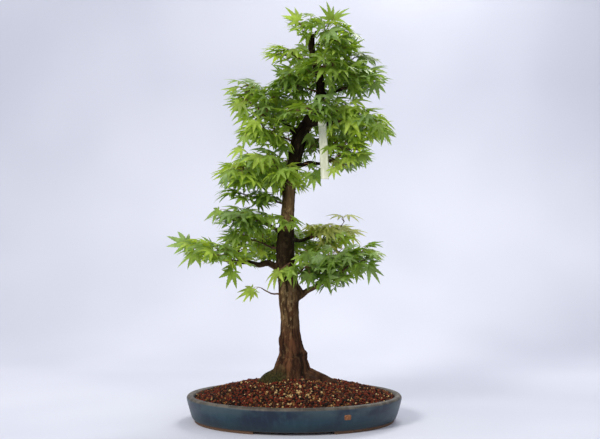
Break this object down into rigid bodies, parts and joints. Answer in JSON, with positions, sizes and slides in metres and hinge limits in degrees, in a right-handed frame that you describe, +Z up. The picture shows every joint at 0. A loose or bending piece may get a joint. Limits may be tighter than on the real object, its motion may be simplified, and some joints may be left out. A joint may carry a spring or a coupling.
{
  "type": "potted japanese maple bonsai",
  "caption": "Japanese maple bonsai with a flared, tapering trunk, open layered foliage and mounded soil in an oval glazed pot.",
  "frame": {"origin": "middle of the whole part's footprint, on the surface that the pot stands on", "axes": "+Z up along the trunk, +X to the right and +Y away from the viewer, with the pot's long side along X"},
  "size_m": [0.4802, 0.3583, 0.8444],
  "materials": {
    "bark": "rough fissured grey-brown bark",
    "leaf": "thin green maple leaves with a soft sheen",
    "soil": "granular fired-clay soil mix",
    "glaze": "mottled slate-blue glaze over brown stoneware",
    "label": "thin matt plastic, blank"
  },
  "bodies": {
    "root": {"trunk": "bark", "bough_lower_right": "bark", "bough_lower_left": "bark", "bough_lower_back": "bark", "bough_back_right": "bark", "bough_left": "bark", "bough_middle_back": "bark", "bough_right": "bark", "bough_upper_left": "bark", "bough_upper_back": "bark", "bough_upper_right": "bark", "bough_high_right": "bark", "leaves_lower_left_outer": "leaf", "leaves_lower_right": "leaf", "leaves_lower_back": "leaf", "leaves_back_right": "leaf", "leaves_left": "leaf", "leaves_middle_back": "leaf", "leaves_right": "leaf", "leaves_upper_left": "leaf", "leaves_upper_back": "leaf", "leaves_upper_right": "leaf", "leaves_high_right": "leaf", "leaves_lower_left_inner": "leaf", "leaves_left_twig": "leaf", "leaves_left_high": "leaf", "leaves_upper_left_low": "leaf", "leaves_top_left_low": "leaf", "leaves_top_left": "leaf", "leaves_top_right": "leaf", "leaves_high_right_back": "leaf", "leaves_high_back": "leaf", "leaves_high_front": "leaf", "leaves_upper_front": "leaf", "leaves_apex_left": "leaf", "leaves_apex": "leaf", "leaves_middle_front": "leaf", "leaves_right_inner": "leaf", "leaves_front": "leaf", "leaves_lower_front": "leaf", "leaves_lower_front_right": "leaf", "leaves_low_twig": "leaf", "pot": "glaze", "soil": "soil", "label_strip": "label"}
  },
  "joints": []
}
